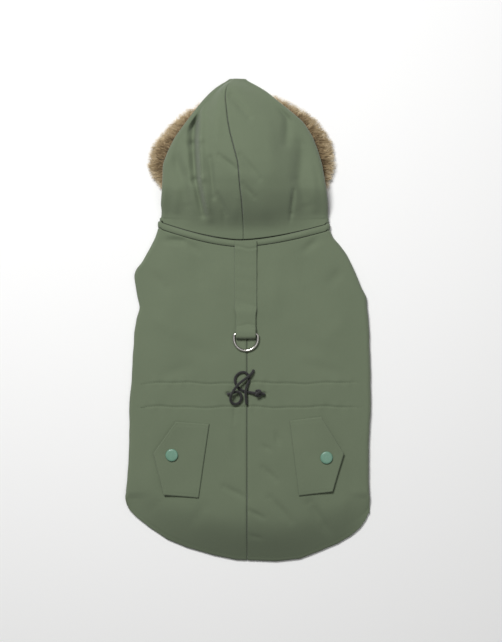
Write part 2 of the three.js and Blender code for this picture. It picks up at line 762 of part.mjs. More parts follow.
const ringMesh = place('d_ring', dRing(), 'nickel');
ringMesh.position.set(ring.x, ring.barY, barZ);
ringMesh.rotation.x = toRadians(ring.tilt);

for (const side of ['left', 'right']) {
  const eyeletMesh = place(`eyelet_${side}`, eyeletRing(), 'nickel');
  eyeletMesh.position.set(eyelet[side], eyelet.y, backTop(eyelet[side], eyelet.y));
  place(`cord_${side}`, cordTube(side), 'cordage');
  place(`flap_${side}`, pocketFlap(side), 'cotton');
  const [snapX, snapY] = flapCorners[side].snapAt;
  const snapMesh = place(`snap_${side}`, snapCap(), 'enamel');
  snapMesh.position.set(snapX, snapY, flapFoot(snapX, snapY, 0.72) + flapThick + gap);
}

const knotMesh = place('cord_knot', cordKnot(), 'cordage');
knotMesh.rotation.y = Math.PI / 2;
knotMesh.position.set(stopperKnot.x, stopperKnot.y, backCrown + stopperKnot.rise);

// The origin goes under the middle of the coat's box.
const bounds = new THREE.Box3().setFromObject(group, true);
group.position.set(-(bounds.min.x + bounds.max.x) / 2, -(bounds.min.y + bounds.max.y) / 2, -bounds.min.z);

export default group;
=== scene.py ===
import math
import bpy
import numpy as np
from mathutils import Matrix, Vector


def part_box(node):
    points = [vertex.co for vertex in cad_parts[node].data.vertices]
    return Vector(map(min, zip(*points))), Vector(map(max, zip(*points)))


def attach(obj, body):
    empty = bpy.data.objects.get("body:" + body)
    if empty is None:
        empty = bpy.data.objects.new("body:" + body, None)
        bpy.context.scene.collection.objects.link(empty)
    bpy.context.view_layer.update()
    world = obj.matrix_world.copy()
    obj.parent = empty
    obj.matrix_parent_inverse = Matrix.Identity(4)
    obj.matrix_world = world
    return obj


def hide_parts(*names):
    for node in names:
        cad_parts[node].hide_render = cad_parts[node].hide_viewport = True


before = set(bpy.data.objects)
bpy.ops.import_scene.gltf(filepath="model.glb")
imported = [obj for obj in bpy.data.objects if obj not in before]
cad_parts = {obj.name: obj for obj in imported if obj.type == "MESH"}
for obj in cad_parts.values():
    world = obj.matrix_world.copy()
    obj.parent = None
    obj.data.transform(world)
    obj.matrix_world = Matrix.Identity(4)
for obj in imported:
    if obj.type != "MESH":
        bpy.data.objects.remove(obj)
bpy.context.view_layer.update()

bpy.context.scene.view_settings.view_transform = "Standard"

# Sizes below are the coat's own millimetres. shift puts its middle at the frame's origin.
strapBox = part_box("lead_strap")
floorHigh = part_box("belly_left")[0][2] * 1000
shift = np.array([strapBox[0][0] * 1000 + 13.7, strapBox[1][1] * 1000 - 80.0, floorHigh])

coat = {
    "cloth": 2.2, "side": 8.5, "crown": 9.4, "hemHigh": 2.5, "hemSlope": 42.0, "gap": 0.3,
    "middle": -1.2, "corner": -178.0, "seamHalf": 0.12, "lap": 40.0,
}


sideKey = {"left": 1, "right": 2}  # columns of the tables


def mix(a, b, share):
    return a + (b - a) * share


def ease(value):
    value = np.clip(value, 0.0, 1.0)
    return value * value * (3 - 2 * value)


def column(table, at, key):  # table rows are (place, value, value ...), read straight between rows
    rows = sorted(table)
    return np.interp(at, [row[0] for row in rows], [row[key] for row in rows])


def wideColumn(table, at, key):
    return sum(column(table, at + off, key) for off in np.linspace(-11, 11, 9)) / 9


def smoothColumn(table, at, key):  # the same, with the corners between rows rounded off
    return sum(column(table, at + off, key) for off in (-3.0, -1.5, 0.0, 1.5, 3.0)) / 5


# Outlines and forms, as in the coat's solids
# y, left, right
bodyOutline = [
    (104, -87.6, 80.4), (93, -90.3, 81.6), (83, -93.4, 85), (78, -96.3, 90.6), (68, -101.7, 98.3),
    (58, -107, 103.3), (53, -112.2, 105.8), (46, -114.4, 108.4), (34, -113.2, 113.4), (24, -111.3, 118.9),
    (13, -108.7, 119.5), (3, -111.8, 120.4), (-10, -114.4, 121.4), (-57, -117, 122.7), (-82, -119.3, 123.1),
    (-130, -119.6, 120.9), (-154, -121.3, 121.2), (-178, -123.1, 121.5), (-190, -120.4, 121.4)]
# x, y
hemLine = [
    (-123.1, -184), (-120.4, -188), (-113.5, -195.5), (-99, -207.5), (-81, -219.5), (-61.6, -227.5),
    (-34, -235.5), (-12, -240), (28, -241.5), (52, -239), (71, -231.5), (90, -223.5), (103.4, -215.5),
    (112.4, -207.5), (118, -199.5), (121.5, -191)]
# y, turn in degrees, cloth beneath
backTurn = [
    (104, 180, 14), (60, 180, 14), (57, 180, 0.8), (52, 100, 0.8), (8, 100, 0.8), (5, 180, 0.8), (0, 180, 30),
    (-156, 180, 30), (-163, 180, 14), (-167, 180, 0.8), (-174, 70, 0.5), (-178, 25, 0.4)]
# y, edge height, fold radius
backEdge = [(-172, 8.0, 4.0), (-178, 6.0, 3.0), (-188, 3.2, 2.9)]
# y, inset of the belly's armhole edge
armhole = [(58, 18.3), (50, 33), (38, 41), (24, 43), (10, 38.5), (0, 34.3)]
# y, left, right, seam, crown, base, under, radius
hoodForm = [
    (70, -89.8, 81.2, -4.2, 9, 0, 1, 4), (92, -89.8, 81.4, -4.6, 12.5, 0, 1, 4),
    (98, -89, 80.8, -5, 16, 0, 1, 4), (104, -87.4, 80, -5.4, 21, 0, 0.54, 4.2),
    (110, -86.6, 80, -5.8, 26, 0, 0.31, 4.6), (116, -87.6, 80, -6.3, 30, 3, 0.15, 4.8),
    (122, -87, 79.2, -6.8, 33.5, 11, 0.1, 5), (128, -86.2, 78.4, -7.7, 36.5, 12.4, 0.13, 5),
    (142, -85.4, 76.2, -9, 41, 12.4, 0.14, 5), (156, -85, 73.6, -10.2, 42, 12.4, 0.15, 5),
    (170, -79.6, 69.4, -13.9, 41.5, 12.4, 0.16, 5), (184, -72.4, 64, -17.6, 40, 12.4, 0.19, 5),
    (198, -62, 55, -20.2, 37.5, 12.4, 0.25, 5), (210, -53, 41, -21.4, 35, 12.4, 0.4, 5),
    (220, -45, 28.5, -22.4, 32, 12.4, 0.7, 4.6), (229, -36.6, 18, -22, 28.5, 12.4, 1, 4),
    (236, -28, 6.6, -19.6, 22.5, 9.5, 1, 3.4), (241.5, -17.5, -4, -11.5, 14.4, 7, 1, 2.8)]

# Creases, listed one by one: x1, y1, x2, y2, rise, half-width. Below 0 is a trough.
hoodCreases = [
    (-46.5, 213, -47.5, 178, 3.2, 4.2), (-47.5, 178, -45.5, 140, 3.4, 4.2), (-45.5, 140, -38, 101, 2.8, 4),
    (-53.5, 212, -54.5, 176, -7.5, 4.6), (-54.5, 176, -52, 140, -7, 4.6), (-52, 140, -44.5, 106, -4.6, 4),
    (-37.6, 160, -34, 122, -1.8, 2.6), (-30, 124, -22, 106, -1.5, 3), (-24.5, 108, -23, 91, -1.1, 2.2),
    (-28.5, 162, -12, 149, -1.6, 2.8), (-7.6, 162, 11, 140, -1.3, 3.2), (-5, 134, 6, 122, -1.1, 2.6),
    (-16.7, 222, 1, 201, -1.8, 4), (-30, 214, -31, 176, 0.9, 5), (33, 216, 39.5, 202, -2.4, 4.5),
    (39.5, 202, 37.5, 176, -2.0, 4.5), (45, 129, 43, 107, -1.9, 2.3), (43, 107, 41.5, 97, -1.1, 2),
    (54, 174, 50, 140, -2.6, 7), (50, 140, 57, 116, -2.2, 6.5), (66, 150, 68, 112, 1.1, 5),
    (-75.5, 168, -65, 144, -2.2, 6), (-65, 144, -60, 116, -2.0, 6), (-71, 128, -74, 104, 1.0, 5),
    (20, 196, 24, 150, 0.9, 8), (12, 128, 20, 98, 0.8, 6), (-12, 120, -14, 94, 0.7, 4)]
backCreases = [
    (-90, 82, -66, 80, -2.0, 3.4), (-66, 80, -50, 70, -0.8, 4), (70, 82, 58, 72, -1.1, 4),
    (-52, 72, -48, 40, -0.7, 7), (52, 66, 60, 34, -0.7, 8), (-100, 50, -84, 34, -0.8, 6),
    (96, 52, 84, 40, -1.0, 6), (-30, 62, -27, 20, 0.5, 8), (28, 60, 26, 10, 0.5, 8),
    (-96, 6, -76, -10, 0.5, 7), (98, 4, 80, -16, 0.5, 8), (-70, -20, -40, -34, -0.4, 8),
    (44, -16, 82, -34, -0.4, 9), (-60, -46, -84, -54, -0.5, 6), (60, -44, 92, -52, -0.5, 6),
    (1, -190, 15, -197, -0.9, 2.4), (1, -215, 13.5, -218, -0.8, 2.2), (-24, -166, -2, -177, -0.8, 2.8),
    (15, -147, 28, -159, -0.8, 3), (22, -177, 42, -200, -1.0, 4), (28, -113, 30, -122, -0.7, 2.4),
    (15, -125, 22, -129, -0.6, 2.2), (62, -183, 76, -205, -1.6, 5.5), (76, -205, 83, -218, -1.4, 4.5),
    (-44, -186, -60, -208, -0.6, 6), (-14, -110, -12, -140, -0.4, 4), (-90, -182, -104, -196, -0.5, 5),
    (104, -150, 108, -182, -0.6, 6), (-104, -110, -106, -160, -0.5, 6), (-13.7, -86, -14, -102, -0.6, 1.4)]


def creaseRise(creases, x, y):
    rise = np.zeros(np.broadcast(x, y).shape)
    for x1, y1, x2, y2, height, wide in creases:
        dx, dy = x2 - x1, y2 - y1
        share = np.clip(((x - x1) * dx + (y - y1) * dy) / (dx * dx + dy * dy), 0, 1)
        away = np.hypot(x - x1 - dx * share, y - y1 - dy * share) / wide
        rise += height * (0.45 + 0.55 * np.sin(np.pi * np.clip(share, 0.08, 0.92))) * np.exp(-away * away)
    return rise


def slackRise(x, y, scale):  # the cloth's slow unevenness
    return scale * (np.sin(x / 17.3 + y / 31.0 + 0.6) * np.sin(y / 23.7 - x / 47.0)
                    + 0.5 * np.sin(x / 9.1 - y / 14.9 + 2.0) * np.sin(x / 29.0 + y / 11.3))


waist = {"top": -62.0, "bottom": -86.0, "groove": 0.75, "pucker": 0.38, "from": -108, "to": 112}
backSeam = {"deep": 0.75, "wide": 1.1, "ridge": 0.22, "ridgeAt": 2.6, "ridgeWide": 1.3}
hem = {"stitchAt": 4.2, "groove": 0.5, "grooveWide": 0.7, "roll": 0.35, "rollAt": 2.2, "rollWide": 1.4}
eyelets = {"left": -20.2, "right": 15.9, "y": -73.0, "pit": 2.0, "pitRadius": 2.3}
crease = {"back": 1.7, "hood": 1.35, "backSlack": 0.4, "hoodSlack": 0.4}


def waistLine(x, line):  # a stitch line's wander along the casing
    return line + 0.7 * np.sin(x / 13.0 + line) + 0.4 * np.sin(x / 5.3)


def waistRise(x, y):  # two rows of stitching, pulled up unevenly along the casing
    rise = np.zeros(np.broadcast(x, y).shape)
    for line in (waist["top"], waist["bottom"]):
        wander = waistLine(x, line)
        rise -= waist["groove"] * np.exp(-((y - wander) / 1.0) ** 2)
        wave = np.sin(x / 1.9 + 1.3 * np.sin(x / 9.0)) * (0.6 + 0.4 * np.sin(x / 15.0 + line))
        rise += waist["pucker"] * wave * np.exp(-((y - line) / 4.5) ** 2)
    return rise


def backTop(x, y):
    lift = ease((y - column(hemLine, x, 1)) / coat["hemSlope"])
    crown = mix(coat["side"], coat["crown"], np.exp(-((x / coat["lap"]) ** 2)))
    fine = crease["back"] * creaseRise(backCreases, x, y) + slackRise(x, y, crease["backSlack"])
    fine = fine + waistRise(x, y)
    off = x - coat["middle"]
    seam = -backSeam["deep"] * np.exp(-(off / backSeam["wide"]) ** 2)
    seam = seam + backSeam["ridge"] * np.exp(-((off + backSeam["ridgeAt"]) / backSeam["ridgeWide"]) ** 2)
    fromHem = y - column(hemLine, x, 1)
    hemRise = -hem["groove"] * np.exp(-((fromHem - hem["stitchAt"]) / hem["grooveWide"]) ** 2)
    hemRise = hemRise + hem["roll"] * np.exp(-((fromHem - hem["rollAt"]) / hem["rollWide"]) ** 2)
    top = mix(coat["hemHigh"], crown + fine, lift) + (seam + hemRise) * (0.35 + 0.65 * lift)
    for side in ("left", "right"):
        away = np.hypot(x - eyelets[side], y - eyelets["y"]) / eyelets["pitRadius"]
        top = top - eyelets["pit"] * np.exp(-away ** 4)
    return top


neck = {
    "low": 81, "middle": -8, "span": 80, "left": 18, "right": 14, "throatDrop": 24, "throatEase": 1.2,
    "foldY": 92, "shoulder": 52, "bandWidth": 6.7}


def neckline(x, side):
    return neck["low"] + neck[side] * (np.abs(x - neck["middle"]) / neck["span"]) ** 1.6


def neckFoldX(side):
    return float(column(bodyOutline, neck["foldY"], sideKey[side]))


def throatLine(x, side):
    fold = neckFoldX(side)
    reach = (x - coat["middle"]) / (fold - coat["middle"])
    return neckline(fold, side) - neck["throatDrop"] * ease(1 - reach)


# Meshes
def newPiece(name, points, faces, uvs=None):
    mesh = bpy.data.meshes.new(name)
    mesh.from_pydata([tuple(p) for p in (np.asarray(points) + shift) * 0.001], [], faces)
    mesh.validate()
    mesh.shade_smooth()
    if uvs is not None:
        layer = mesh.uv_layers.new(name="UVMap")
        index = np.zeros(len(mesh.loops), dtype=np.int32)
        mesh.loops.foreach_get("vertex_index", index)
        layer.data.foreach_set("uv", np.asarray(uvs, dtype=np.float32)[index].ravel())
    piece = bpy.data.objects.new(name, mesh)
    bpy.context.scene.collection.objects.link(piece)
    return piece


def shellPiece(name, grid, thick, flip=False):  # grid: rows of outer points
    rows, cols = grid.shape[:2]
    across = np.gradient(grid, axis=1)
    along = np.gradient(grid, axis=0)
    normal = np.cross(across, along)
    normal /= np.maximum(np.linalg.norm(normal, axis=2, keepdims=True), 1e-9)
    if flip:
        normal = -normal
    inner = grid - normal * thick
    inner[..., 2] = np.maximum(inner[..., 2], 0.02)
    points = np.concatenate([grid.reshape(-1, 3), inner.reshape(-1, 3)])
    half = rows * cols
    faces = []
    for r in range(rows - 1):
        for c in range(cols - 1):
            a = r * cols + c
            quad = (a, a + 1, a + cols + 1, a + cols)
            if flip:
                quad = (a, a + cols, a + cols + 1, a + 1)
            faces.append(quad)
            faces.append(tuple(half + i for i in reversed(quad)))
    border = list(range(cols)) + [r * cols + cols - 1 for r in range(1, rows)]
    border += [(rows - 1) * cols + c for c in range(cols - 2, -1, -1)]
    border += [r * cols for r in range(rows - 2, 0, -1)]
    for i, a in enumerate(border):
        b = border[(i + 1) % len(border)]
        faces.append((b, a, half + a, half + b) if not flip else (a, b, half + b, half + a))
    piece = newPiece(name, points, faces)
    corners = grid[:-1, :-1]
    quads = np.linalg.norm(np.cross(grid[:-1, 1:] - corners, grid[1:, :-1] - corners), axis=2)
    return piece, float(quads.sum()) * 1e-6  # square metres of one face


def halfSection(spec):
    sign = -1 if spec["side"] == "left" else 1
    turn = math.radians(spec["turn"])
    rollD = spec["width"] - spec["radius"] * math.sin(min(turn, math.pi / 2))
    rollZ = spec["edge"] - spec["radius"]
    d = mix(coat["seamHalf"], rollD, spec["shares"])
    x = spec["middle"] + sign * d
    y = spec["yTop"](x)
    top = np.stack([x, y, spec["topAt"](x, y, d / rollD)], axis=1)
    angle = turn * np.linspace(0, 1, 13)[1:]
    rollX = spec["middle"] + sign * (rollD + spec["radius"] * np.sin(angle))
    roll = np.stack([rollX, np.full(12, spec["ySide"]), rollZ + spec["radius"] * np.cos(angle)], axis=1)
    reach = spec["under"] * np.linspace(0, 1, 9)[1:]
    underD = rollD + spec["radius"] * math.sin(turn) + math.cos(turn) * reach
    underX = spec["middle"] + sign * underD
    underZ = rollZ + spec["radius"] * math.cos(turn) - math.sin(turn) * reach
    under = np.stack([underX, np.broadcast_to(spec["yUnder"](underX), underX.shape), underZ], axis=1)
    return np.concatenate([top, roll, under])


def backSection(side, yEdge, yTop, yUnder=None):
    key = sideKey[side]
    edge = float(column(backEdge, yEdge, 1))
    wobble = 0.35 * math.sin(yEdge / 7.0 + key) + 0.25 * math.sin(yEdge / 3.1)
    return halfSection({
        "side": side, "middle": coat["middle"], "shares": topShares,
        "width": abs(float(smoothColumn(bodyOutline, yEdge, key)) - coat["middle"]) + 0.4 * wobble,
        "radius": float(column(backEdge, yEdge, 2)), "edge": edge,
        "turn": float(column(backTurn, yEdge, 1)), "under": float(column(backTurn, yEdge, 2)),
        "topAt": lambda x, y, share: mix(backTop(x, y), edge, ease((share - 0.78) / 0.22)),
        "yTop": yTop, "ySide": yEdge, "yUnder": yUnder or (lambda x: yEdge + 0 * x)})


topShares = np.concatenate([np.linspace(0, 0.06, 8)[:-1], np.linspace(0.06, 1, 84)])
# rows of the back, closest together over the casing
backRows = np.concatenate([
    np.arange(neck["shoulder"], 0, -1.6), np.arange(0, -54, -2.0), np.arange(-54, -94, -0.8),
    np.arange(-94, coat["corner"], -1.8)])


def backGrid(side):
    sign = -1 if side == "left" else 1
    rows = []
    bandFoot = neck["bandWidth"] + 0.4
    foldY = float(neckline(neckFoldX(side), side))
    for share in np.linspace(0, 1, 26)[:-1]:
        yEdge = mix(foldY - bandFoot, neck["shoulder"], share)
        rows.append(backSection(
            side, yEdge, lambda x, s=share: mix(neckline(x, side) - bandFoot, neck["shoulder"], s),
            lambda x, s=share: mix(throatLine(x, side) - bandFoot - neck["throatEase"], neck["shoulder"], s)))
    for y in backRows:
        rows.append(backSection(side, float(y), lambda x, y=y: y + 0 * x))
    cornerX = float(column(bodyOutline, coat["corner"], sideKey[side]))
    for share in np.linspace(0, 1, 46):
        yEdge = mix(coat["corner"], float(column(hemLine, cornerX - sign, 1)), share)
        rows.append(backSection(
            side, yEdge, lambda x, s=share: mix(coat["corner"], column(hemLine, x, 1), s)))
    return np.array(rows)


def hoodTop(side, edge, x, y, share):
    bell = 0.5 + 0.5 * np.cos(np.pi * np.clip(share, 0, 1) ** 1.35)
    crown = np.maximum(smoothColumn(hoodForm, y, 4), coat["crown"] + 0.5)
    flatter = ease((y - 90) / 22) * ease((238 - y) / 16)
    seamX = smoothColumn(hoodForm, y, 3)
    seam = -1.1 * np.exp(-((x - seamX) / 0.9) ** 2) + 0.4 * np.exp(-((x - seamX) / 3.2) ** 2)
    fine = crease["hood"] * creaseRise(hoodCreases, x, y) + slackRise(x, y + 40, crease["hoodSlack"])
    return mix(edge, crown, bell) + (fine * ease((1 - share) / 0.14) + seam) * (0.15 + 0.85 * flatter)


hood = {"blendEnd": 104, "top": 241.5}
hoodShares = np.linspace(0, 1, 96) ** 0.96


def hoodSection(side, yRow, yTop, ySide, yUnder):
    def read(key):
        return float(smoothColumn(hoodForm, yRow, key))

    middle = read(3)
    radius = read(7)
    width = abs(read(sideKey[side]) - middle)
    edge = float(wideColumn(hoodForm, yRow, 5)) + 2 * radius
    return halfSection({
        "side": side, "middle": middle, "width": width, "radius": radius, "edge": edge, "turn": 180,
        "under": (width - radius - coat["seamHalf"]) * float(column(hoodForm, yRow, 6)), "shares": hoodShares,
        "topAt": lambda x, y, share: hoodTop(side, edge, x, y, share),
        "yTop": yTop, "ySide": ySide, "yUnder": yUnder})


def hoodGrid(side):
    rows = []
    foldY = float(neckline(neckFoldX(side), side)) + 0.5
    for share in np.linspace(0, 1, 22)[:-1]:
        yEdge = mix(foldY, hood["blendEnd"], share)
        rows.append(hoodSection(
            side, min(yEdge, 98 + 6 * ease((share - 0.66) / 0.34)),
            lambda x, s=share: mix(neckline(x, side) + 0.5, hood["blendEnd"], s), yEdge,
            lambda x, s=share: mix(
                throatLine(x, side) + 1.7, hood["blendEnd"] - 6 * ease(1 - np.abs(x) / neck["span"]), s)))
    for y in np.concatenate([np.arange(hood["blendEnd"], 228, 1.4), np.linspace(228, hood["top"], 18)]):
        rows.append(hoodSection(
            side, float(y), lambda x, y=y: y + 0 * x, float(y), lambda x, y=y: float(y) + 0 * x))
    return np.array(rows)


# Shader maths
class Socket:
    def __init__(self, paint, link):
        self.paint, self.link = paint, link

    def maths(self, operation, other, reverse=False):
        first, second = (other, self) if reverse else (self, other)
        return self.paint.node("ShaderNodeMath", {"operation": operation}, {0: first, 1: second})

    def __add__(self, other):
        return self.maths("ADD", other)

    def __radd__(self, other):
        return self.maths("ADD", other, True)

    def __sub__(self, other):
        return self.maths("SUBTRACT", other)

    def __rsub__(self, other):
        return self.maths("SUBTRACT", other, True)

    def __mul__(self, other):
        return self.maths("MULTIPLY", other)

    def __rmul__(self, other):
        return self.maths("MULTIPLY", other, True)

    def __pow__(self, other):
        return self.maths("POWER", other)


class Paint:  # one material and its nodes
    def __init__(self, name):
        self.material = bpy.data.materials.new(name)
        self.material.use_nodes = True
        self.tree = self.material.node_tree
        self.tree.nodes.clear()
        self.shader = self.tree.nodes.new("ShaderNodeBsdfPrincipled")
        output = self.tree.nodes.new("ShaderNodeOutputMaterial")
        self.tree.links.new(self.shader.outputs[0], output.inputs["Surface"])

    def node(self, kind, settings, inputs, output=0):
        made = self.tree.nodes.new(kind)
        for key, value in settings.items():
            if key == "stops":
                while len(made.color_ramp.elements) < len(value):
                    made.color_ramp.elements.new(0.5)
                for element, (place, colour) in zip(made.color_ramp.elements, value):
                    element.position, element.color = place, (*colour, 1)
            else:
                setattr(made, key, value)
        for key, value in inputs.items():
            self.put(made.inputs[key], value)
        return Socket(self, made.outputs[output])

    def put(self, socket, value):
        if isinstance(value, Socket):
            self.tree.links.new(value.link, socket)
        else:
            socket.default_value = value

    def colourMix(self, share, first, second):
        made = self.tree.nodes.new("ShaderNodeMix")
        made.data_type = "RGBA"
        for index, value in ((0, share), (6, first), (7, second)):
            if isinstance(value, tuple):
                value = (*value, 1)
            self.put(made.inputs[index], value)
        return Socket(self, made.outputs[2])

    def finish(self, colour, rough, bump=None, strength=0.3, distance=0.0003, **fixed):
        self.put(self.shader.inputs["Base Color"], (*colour, 1) if isinstance(colour, tuple) else colour)
        self.put(self.shader.inputs["Roughness"], rough)
        for name, value in fixed.items():
            self.put(self.shader.inputs[name.replace("_", " ")], value)
        if bump is not None:
            sizes = {"Strength": strength, "Distance": distance, "Height": bump}
            self.put(self.shader.inputs["Normal"], self.node("ShaderNodeBump", {}, sizes))
        return self.material


def place(paint):
    return paint.node("ShaderNodeTexCoord", {}, {}, 3)


def wave(paint, vector, scale, direction, distort=0.6):
    return paint.node("ShaderNodeTexWave", {"bands_direction": direction}, {
        "Vector": vector, "Scale": scale, "Distortion": distort, "Detail": 1.5, "Detail Scale": 2.0}, 1)


def noise(paint, vector, scale, detail=4.0):
    return paint.node("ShaderNodeTexNoise", {}, {"Vector": vector, "Scale": scale, "Detail": detail}, 0)


def cottonPaint(name, base, worn):
    paint = Paint(name)
    spot = place(paint)
    warp = wave(paint, spot, 420, "X")
    weft = wave(paint, spot, 420, "Y")
    patch = noise(paint, spot, 22)
    fleck = noise(paint, spot, 900, 2.0)
    height = paint.node("ShaderNodeSeparateXYZ", {}, {0: spot}, 1)
    # painted shade: the cloth's colour darkens towards the hem (down to 0.3 of the base), standing in for the
    # shade where the back slopes down to the floor
    paintedHemShade = paint.node("ShaderNodeMapRange", {"interpolation_type": "SMOOTHSTEP"}, {
        "Value": height, 1: -0.175, 2: -0.238, 3: 0.0, 4: 0.6})
    shade = paint.colourMix(patch, base, worn)
    shade = paint.colourMix(paintedHemShade, shade, tuple(v * 0.3 for v in base))
    dark = tuple(v * 0.72 for v in base)
    colour = paint.colourMix((1 - warp * weft) * 0.22 + fleck * 0.16, shade, dark)
    height = warp * 0.5 + weft * 0.5 + fleck * 0.5 + patch * 0.6
    return paint.finish(colour, 0.88, height, 0.35, 0.00035, Sheen_Weight=0.18, Sheen_Roughness=0.5)


cotton = cottonPaint("cottonCloth", (0.136, 0.172, 0.106), (0.158, 0.196, 0.122))
bellyCotton = cottonPaint("bellyCloth", (0.124, 0.156, 0.096), (0.142, 0.176, 0.11))
cottonThread = Paint("cottonThread").finish((0.105, 0.135, 0.08), 0.7)


def metalPaint():
    paint = Paint("nickelPlate")
    spot = place(paint)
    rub = noise(paint, spot, 260)
    colour = paint.colourMix(rub, (0.62, 0.6, 0.56), (0.78, 0.76, 0.71))
    return paint.finish(colour, 0.16 + rub * 0.14, rub, 0.06, 0.0001, Metallic=1.0)


def enamelPaint():
    paint = Paint("greenEnamel")
    spot = place(paint)
    speck = noise(paint, spot, 420)
    colour = paint.colourMix(speck, (0.12, 0.25, 0.175), (0.155, 0.3, 0.215))
    return paint.finish(colour, 0.3 + speck * 0.14, speck, 0.08, 0.0001, Coat_Weight=0.3, Coat_Roughness=0.2)


def cordPaint():
    paint = Paint("blackBraid")
    uv = paint.node("ShaderNodeUVMap", {"uv_map": "UVMap"}, {}, 0)
    one = paint.node("ShaderNodeTexWave", {"bands_direction": "DIAGONAL"}, {
        "Vector": uv, "Scale": 3.2, "Distortion": 0.4}, 1)
    flipped = paint.node("ShaderNodeMapping", {}, {"Vector": uv, "Scale": (1, -1, 1)}, 0)
    two = paint.node("ShaderNodeTexWave", {"bands_direction": "DIAGONAL"}, {
        "Vector": flipped, "Scale": 3.2, "Distortion": 0.4}, 1)
    braid = one * two
    colour = paint.colourMix(braid, (0.009, 0.009, 0.009), (0.045, 0.044, 0.042))
    return paint.finish(colour, 0.72, braid, 0.7, 0.0005, Sheen_Weight=0.15)


def furPaint():
    paint = Paint("fawnFur")
    tip = paint.node("ShaderNodeAttribute", {"attribute_name": "tip"}, {}, 2)
    spot = place(paint)
    tuft = noise(paint, spot, 160)
    stops = [(0.0, (0.06, 0.036, 0.012)), (0.35, (0.2, 0.135, 0.062)), (0.7, (0.46, 0.35, 0.2)),
             (1.0, (0.8, 0.7, 0.52))]  # root to tip
    ramp = paint.node("ShaderNodeValToRGB", {"stops": stops}, {0: tip + (tuft - 0.5) * 0.7})
    return paint.finish(ramp, 0.75, None, Sheen_Weight=0.1)


nickel = metalPaint()
enamel = enamelPaint()
braid = cordPaint()
furHair = furPaint()


def settle(piece, node, material, body="coat"):
    piece.data.materials.clear()
    piece.data.materials.append(material)
    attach(piece, body)
    if node:
        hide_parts(node)
    return piece


# Camera
view = {"lens": 85.0, "sensor": 36.0, "span": 0.642, "above": 0.01, "x": 2.8}  # span in metres, x in mm
cameraData = bpy.data.cameras.new("camera")
cameraData.lens = view["lens"]
cameraData.sensor_width = view["sensor"]
camera = bpy.data.objects.new("camera", cameraData)
bpy.context.scene.collection.objects.link(camera)
away = view["lens"] / view["sensor"] * view["span"] + view["above"]
camera.location = ((view["x"] + shift[0]) / 1000, shift[1] / 1000, away)
bpy.context.scene.camera = camera

# The waist cord: its two free ends
cordInfo = {
    "radius": 1.3, "layer": 2.95, "base": coat["crown"] + coat["gap"] + 1.3, "sides": 14, "ribs": 0.07}
knotInfo = {"x": 10.1, "y": -71.9, "rise": 5.1, "wire": 1.35, "sides": 12}
# x, y, height in cord layers
cordRoutes = {
    "left": [
        (-20.2, -73, -0.5), (-20.2, -73, 0.1), (-19.3, -72.9, 0.9), (-17, -72.3, 1.35), (-13.5, -71, 1.4),
        (-10, -70.6, 1.4), (-7.3, -73, 1.2), (-7, -77.5, 0.7), (-9.3, -81.6, 0.3), (-13.2, -82.9, 0.2),
        (-17, -80.6, 0.6), (-17.6, -76.4, 1.6), (-16, -71.8, 2.5), (-13, -67, 2.4), (-9.2, -62.6, 1.9),
        (-4.6, -58.8, 1.4), (0.2, -55.6, 1.15), (3.4, -52.4, 0.8), (5.6, -49, 0.2)],
    "right": [
        (15.9, -73, -0.5), (15.9, -73, 0.1), (15.1, -72.9, 0.85), (13.2, -72, 1.2), (10.2, -71.9, 1.2),
        (7, -71.9, 1.15), (3, -71.4, 0.4), (-2, -70.8, 0.05), (-6.5, -69, 0.05), (-10.6, -65.6, 0.05),
        (-13, -61, 0.05), (-12.4, -55.8, 0.05), (-8.4, -51.9, 0.05), (-3.2, -51.4, 0.05), (0.4, -54.8, 0.05),
        (0.6, -60, 0.2), (-1.6, -65.4, 0.75), (-2.6, -71, 1.1), (-2.2, -76.6, 0.8), (-1.6, -83, 0.1)]}


def smoothPath(points, perSpan=8):  # Catmull-Rom with centripetal spacing
    points = [2 * points[0] - points[1]] + list(points) + [2 * points[-1] - points[-2]]
    out = []
    for p0, p1, p2, p3 in zip(points, points[1:], points[2:], points[3:]):
        t = [0.0]
        for a, b in ((p0, p1), (p1, p2), (p2, p3)):
            t.append(t[-1] + max(np.linalg.norm(b - a), 1e-6) ** 0.5)
        for s in np.linspace(t[1], t[2], perSpan, endpoint=False):
            a1 = (t[1] - s) / (t[1] - t[0]) * p0 + (s - t[0]) / (t[1] - t[0]) * p1
            a2 = (t[2] - s) / (t[2] - t[1]) * p1 + (s - t[1]) / (t[2] - t[1]) * p2
            a3 = (t[3] - s) / (t[3] - t[2]) * p2 + (s - t[2]) / (t[3] - t[2]) * p3
            b1 = (t[2] - s) / (t[2] - t[0]) * a1 + (s - t[0]) / (t[2] - t[0]) * a2
            b2 = (t[3] - s) / (t[3] - t[1]) * a2 + (s - t[1]) / (t[3] - t[1]) * a3
            out.append((t[2] - s) / (t[2] - t[1]) * b1 + (s - t[1]) / (t[2] - t[1]) * b2)
    out.append(points[-2])
    return np.array(out)


